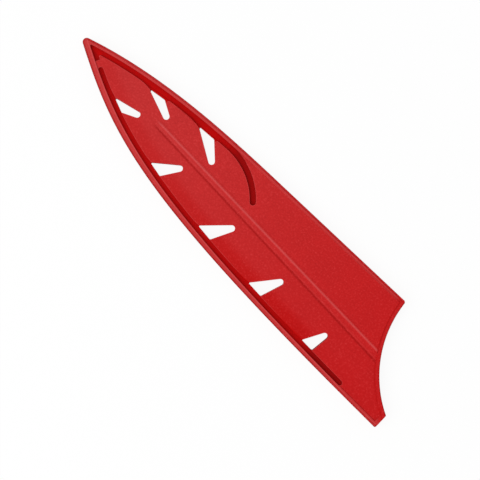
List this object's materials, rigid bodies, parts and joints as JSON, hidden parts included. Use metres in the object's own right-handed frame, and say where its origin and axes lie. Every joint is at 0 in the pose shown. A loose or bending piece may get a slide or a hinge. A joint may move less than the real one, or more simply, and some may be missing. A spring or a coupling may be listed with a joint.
{
  "type": "knife blade guard",
  "caption": "Thin curved sheath that covers a chef's knife blade, open along a hollow mouth, with fanned drain windows, scalloped channels and a flared spine panel.",
  "frame": {"origin": "under the middle of the outline, on the plane the guard lies on", "axes": "+X from the tip to the heel end, +Y to the spine side, +Z out of the front face"},
  "size_m": [0.2179, 0.0514, 0.0065],
  "materials": {
    "shell_front": "fine moulded texture, matte",
    "shell_back": "fine moulded texture, matte"
  },
  "bodies": {
    "root": {"front_shell": "shell_front", "back_shell": "shell_back"}
  },
  "joints": []
}
